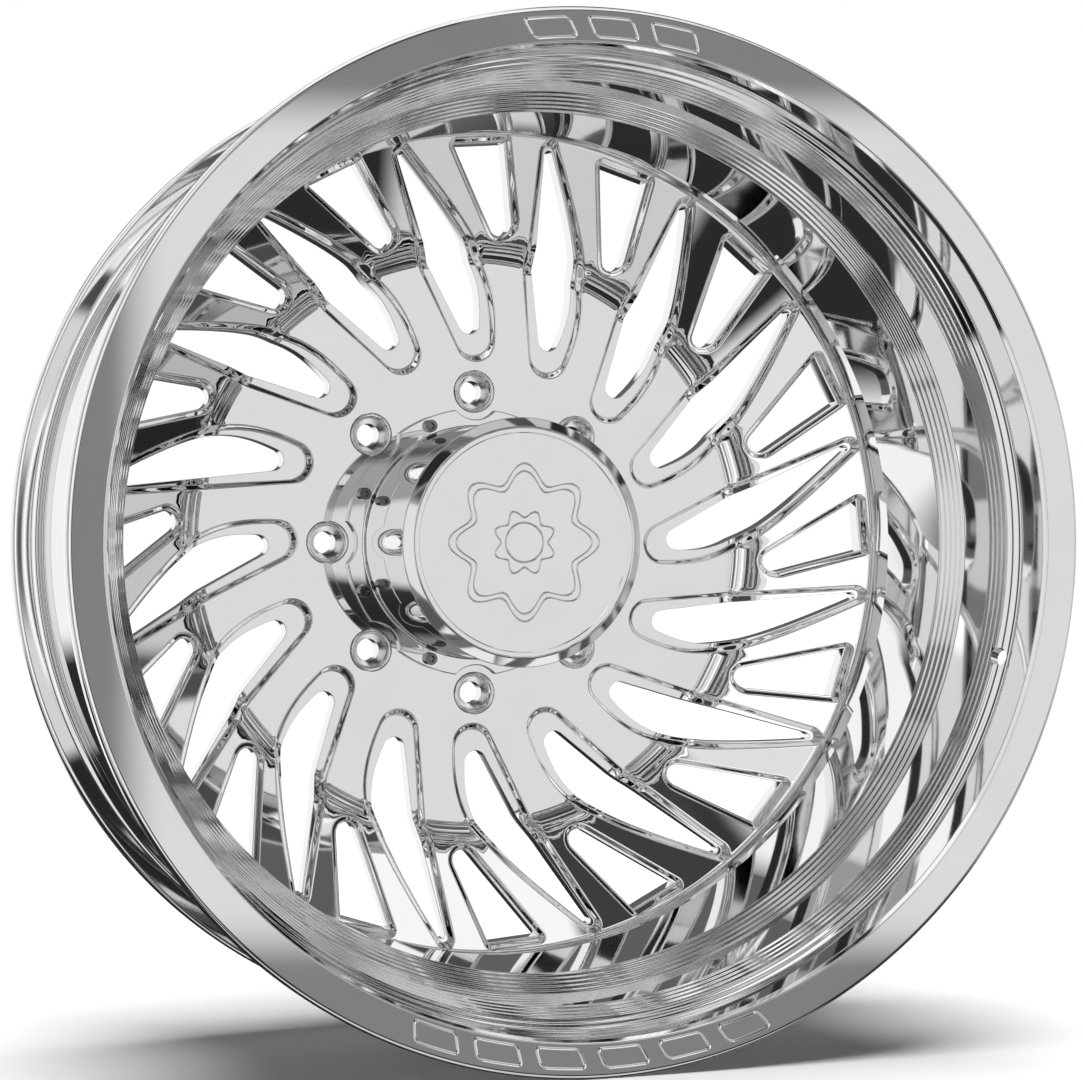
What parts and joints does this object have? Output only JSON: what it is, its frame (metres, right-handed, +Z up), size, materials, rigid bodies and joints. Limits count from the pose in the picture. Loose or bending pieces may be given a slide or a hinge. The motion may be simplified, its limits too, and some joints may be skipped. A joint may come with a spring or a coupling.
{
  "type": "dual-rear truck wheel",
  "caption": "Deep-dish forged wheel for the outer side of a dual rear axle: stepped barrel, swept-window disc, conical lug seats and a tall screwed centre cap with a pull-off lid.",
  "frame": {"origin": "centre of the hub bore at the mounting face on the back of the disc", "axes": "+Y along the wheel's axis, out of the back towards the hub, so the street side faces -Y; +Z up, +X to the right seen from the street side"},
  "size_m": [0.649, 0.286, 0.6488],
  "materials": {
    "barrel_polish": "mirror polished, with fine turning marks on the steps",
    "disc_polish": "mirror polished",
    "weld": "as welded, satin",
    "seat_steel": "bright plated",
    "cap_polish": "mirror polished",
    "lid_polish": "mirror polished, engraved",
    "seal": "satin",
    "screw_steel": "bright stainless"
  },
  "bodies": {
    "wheel": {"barrel": "barrel_polish", "centre_disc": "disc_polish", "weld_bead": "weld", "lug_seat_1": "seat_steel", "lug_seat_2": "seat_steel", "lug_seat_3": "seat_steel", "lug_seat_4": "seat_steel", "lug_seat_5": "seat_steel", "lug_seat_6": "seat_steel", "lug_seat_7": "seat_steel", "lug_seat_8": "seat_steel", "cap_body": "cap_polish", "cap_screw_1": "screw_steel", "cap_screw_2": "screw_steel", "cap_screw_3": "screw_steel", "cap_screw_4": "screw_steel", "cap_screw_5": "screw_steel", "cap_screw_6": "screw_steel", "cap_screw_7": "screw_steel", "cap_screw_8": "screw_steel"},
    "lid": {"cap_lid": "lid_polish", "lid_o_ring": "seal"}
  },
  "joints": [
    {"name": "lid_pull", "type": "slide", "parent": "wheel", "child": "lid", "axis": [0, -1, 0], "range_m": [0, 0.009]}
  ]
}
